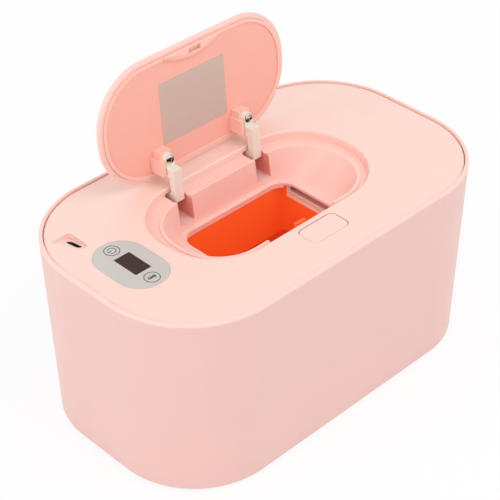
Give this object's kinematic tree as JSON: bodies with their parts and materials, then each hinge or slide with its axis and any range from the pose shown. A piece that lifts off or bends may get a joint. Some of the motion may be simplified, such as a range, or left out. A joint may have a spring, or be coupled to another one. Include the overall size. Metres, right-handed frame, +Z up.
{
  "type": "baby wipe warmer",
  "caption": "Rounded tub-shaped wipe warmer with a lift-off heated cover, a button-released dispensing lid standing open on goose-neck arms, a touch display panel and a charging port.",
  "frame": {"origin": "on the ground under the middle of the body, at the underside of the feet", "axes": "+X along the length towards the end without controls, -Y towards the side with the release button, +Z up"},
  "size_m": [0.212, 0.1264, 0.1628],
  "materials": {
    "outer_shell": "satin",
    "base_plate": "satin",
    "rubber_feet": "matte",
    "base_screws": "satin",
    "inner_tank": "satin",
    "tank_insulation": "matte",
    "top_cover": "satin",
    "underside_tray": "satin",
    "tray_screws": "satin",
    "cover_gasket": "matte",
    "heater_film": "satin",
    "heat_plate": "satin",
    "temperature_sensor": "matte",
    "thermal_fuse": "matte",
    "heater_leads": "satin",
    "wipe_guide": "satin",
    "control_panel": "gloss",
    "display_window": "gloss",
    "display_module": "matte",
    "touch_springs": "satin",
    "control_board": "satin",
    "board_screws": "satin",
    "port_shell": "satin",
    "port_tongue": "matte",
    "port_board": "satin",
    "hinge_pins": "satin",
    "hinge_springs": "satin",
    "button_spring": "satin",
    "latch_spring": "satin",
    "release_button": "satin",
    "latch_slider": "satin",
    "lid_outer": "satin",
    "lid_inner": "satin",
    "hinge_arms": "satin",
    "hinge_screws": "gloss"
  },
  "bodies": {
    "tub": {"outer_shell": "outer_shell", "base_plate": "base_plate", "rubber_feet": "rubber_feet", "base_screws": "base_screws", "inner_tank": "inner_tank", "tank_insulation": "tank_insulation"},
    "cover": {"top_cover": "top_cover", "underside_tray": "underside_tray", "tray_screws": "tray_screws", "cover_gasket": "cover_gasket", "heater_film": "heater_film", "heat_plate": "heat_plate", "temperature_sensor": "temperature_sensor", "thermal_fuse": "thermal_fuse", "heater_leads": "heater_leads", "wipe_guide": "wipe_guide", "control_panel": "control_panel", "display_window": "display_window", "display_module": "display_module", "touch_springs": "touch_springs", "control_board": "control_board", "board_screws": "board_screws", "port_shell": "port_shell", "port_tongue": "port_tongue", "port_board": "port_board", "hinge_pins": "hinge_pins", "hinge_springs": "hinge_springs", "button_spring": "button_spring", "latch_spring": "latch_spring"},
    "lid": {"lid_outer": "lid_outer", "lid_inner": "lid_inner", "hinge_arms": "hinge_arms", "hinge_screws": "hinge_screws"},
    "button": {"release_button": "release_button"},
    "latch": {"latch_slider": "latch_slider"}
  },
  "joints": [
    {"name": "cover_lift", "type": "slide", "parent": "tub", "child": "cover", "axis": [0, 0, 1], "range_m": [0, 0.06]},
    {"name": "lid_hinge", "type": "hinge", "parent": "cover", "child": "lid", "pos_m": [0, 0.03785, 0.0946], "axis": [1, 0, 0], "range_deg": [0, 94], "stiffness_Nm_per_rad": 0.01, "springref_deg": -34.38},
    {"name": "button_press", "type": "slide", "parent": "cover", "child": "button", "axis": [0, 0, -1], "range_m": [0, 0.002], "stiffness_N_per_m": 400, "springref_m": -0.001, "deforming": ["button_spring"]},
    {"name": "latch_slide", "type": "slide", "parent": "cover", "child": "latch", "axis": [0, -1, 0], "range_m": [0, 0.0009]}
  ],
  "couplings": [
    {"joint": "latch_slide", "follows": "button_press", "ratio": 0.45}
  ]
}
